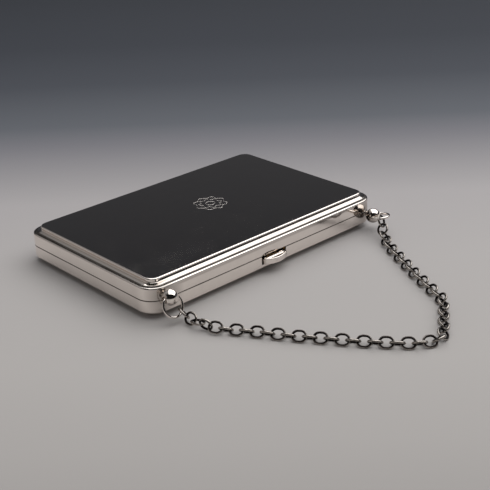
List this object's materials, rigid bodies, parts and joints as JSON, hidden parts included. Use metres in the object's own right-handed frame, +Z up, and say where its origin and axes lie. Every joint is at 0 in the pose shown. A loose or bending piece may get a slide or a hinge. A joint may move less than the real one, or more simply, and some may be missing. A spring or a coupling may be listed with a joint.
{
  "type": "card case",
  "caption": "slim hinged silver card case with a raised panel on each side, a thumb-piece clasp and a wrist chain joined to a ball at each front corner",
  "frame": {"origin": "middle of the flat raised panel on the underside of the closed case, which rests on the table", "axes": "+X along the case's length to the right, -Y towards the thumb-piece and the chain, +Z up through the lid"},
  "size_m": [0.095, 0.1296, 0.0116],
  "materials": {
    "silver": "polished silver sheet with fine wear",
    "fittings": "polished silver fittings",
    "chain": "tarnished silver wire, bright where it rubs",
    "spring_steel": "bare spring steel"
  },
  "bodies": {
    "base": {"base_shell": "silver", "bezel": "silver", "base_knuckles": "silver", "hinge_pin": "fittings", "catch_cover": "silver", "catch_spring": "spring_steel", "spring_rivets": "silver", "right_peg": "fittings", "right_ball": "fittings"},
    "lid": {"lid_shell": "silver", "lid_knuckles": "silver", "lid_keeper": "silver", "left_peg": "fittings", "left_ball": "fittings"},
    "thumb": {"thumb_piece": "fittings", "catch_hook": "spring_steel"},
    "chain": {"left_ring": "fittings", "right_ring": "fittings", "chain_links_01": "chain", "chain_links_02": "chain", "chain_links_03": "chain", "chain_links_04": "chain", "chain_links_05": "chain", "chain_links_06": "chain", "chain_links_07": "chain", "chain_links_08": "chain", "chain_links_09": "chain", "chain_links_10": "chain", "chain_links_11": "chain", "chain_links_12": "chain", "chain_links_13": "chain", "chain_links_14": "chain"}
  },
  "joints": [
    {"name": "lid_open", "type": "hinge", "parent": "base", "child": "lid", "pos_m": [0, 0.0315, 0.0058], "axis": [-1, 0, 0], "range_deg": [0, 170]},
    {"name": "thumb_press", "type": "slide", "parent": "base", "child": "thumb", "axis": [0, 1, 0], "range_m": [0, 0.0008], "stiffness_N_per_m": 1500, "springref_m": -0.0005, "deforming": ["catch_spring"]},
    {"name": "chain_swing", "type": "hinge", "parent": "base", "child": "chain", "pos_m": [-0.0426, -0.03435, 0.00762], "axis": [-0.9995, 0, 0.0304], "range_deg": [0, 75]}
  ]
}
